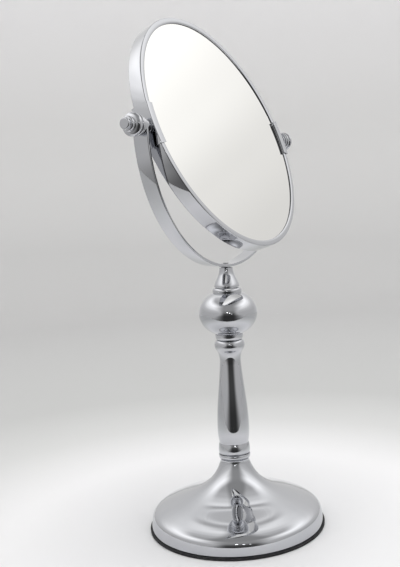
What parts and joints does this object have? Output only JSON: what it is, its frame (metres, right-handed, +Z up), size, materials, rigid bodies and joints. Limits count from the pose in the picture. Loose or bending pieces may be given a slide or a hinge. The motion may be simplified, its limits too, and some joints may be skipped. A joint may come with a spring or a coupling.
{
  "type": "countertop mirror",
  "caption": "Round two-sided mirror that tilts in a half-circle yoke on a turned chrome pedestal with a weighted bell base.",
  "frame": {"origin": "centre of the base's underside, on the surface it stands on", "axes": "+Z up along the pedestal; X along the tilt axis between the two knobs, +X to the right as seen from the front; the front glass faces -Y and leans back"},
  "size_m": [0.233, 0.1388, 0.3943],
  "materials": {
    "chrome": "polished chrome plate",
    "mirror_glass": "silvered float glass",
    "plain_steel": "bright zinc plate",
    "cast_weight": "rough casting",
    "spacer_foam": "closed-cell foam",
    "pad_rubber": "matte"
  },
  "bodies": {
    "stand": {"base_pad": "pad_rubber", "base_cover": "chrome", "base_weight": "cast_weight", "base_washer": "plain_steel", "base_nut": "plain_steel", "tie_rod": "plain_steel", "foot_collar": "chrome", "column": "chrome", "lower_collar": "chrome", "ball": "chrome", "upper_collar": "chrome", "top_cone": "chrome", "yoke": "chrome", "yoke_screw": "plain_steel", "left_friction_washer": "chrome", "right_friction_washer": "chrome"},
    "head": {"rim_hoop": "chrome", "front_glass": "mirror_glass", "back_glass": "mirror_glass", "spacer_ring": "spacer_foam", "left_saddle_clip": "chrome", "left_pivot_stud": "plain_steel", "left_pivot_bush": "chrome", "right_saddle_clip": "chrome", "right_pivot_stud": "plain_steel", "right_pivot_bush": "chrome"},
    "left_knob": {"left_tension_knob": "chrome"},
    "right_knob": {"right_tension_knob": "chrome"}
  },
  "joints": [
    {"name": "head_tilt", "type": "hinge", "parent": "stand", "child": "head", "pos_m": [0, 0, 0.3054], "axis": [1, 0, 0], "continuous": true},
    {"name": "left_knob_turn", "type": "hinge", "parent": "head", "child": "left_knob", "pos_m": [-0.11, 0, 0.3054], "axis": [-1, 0, 0], "range_deg": [0, 360]},
    {"name": "right_knob_turn", "type": "hinge", "parent": "head", "child": "right_knob", "pos_m": [0.11, 0, 0.3054], "axis": [1, 0, 0], "range_deg": [0, 360]}
  ]
}
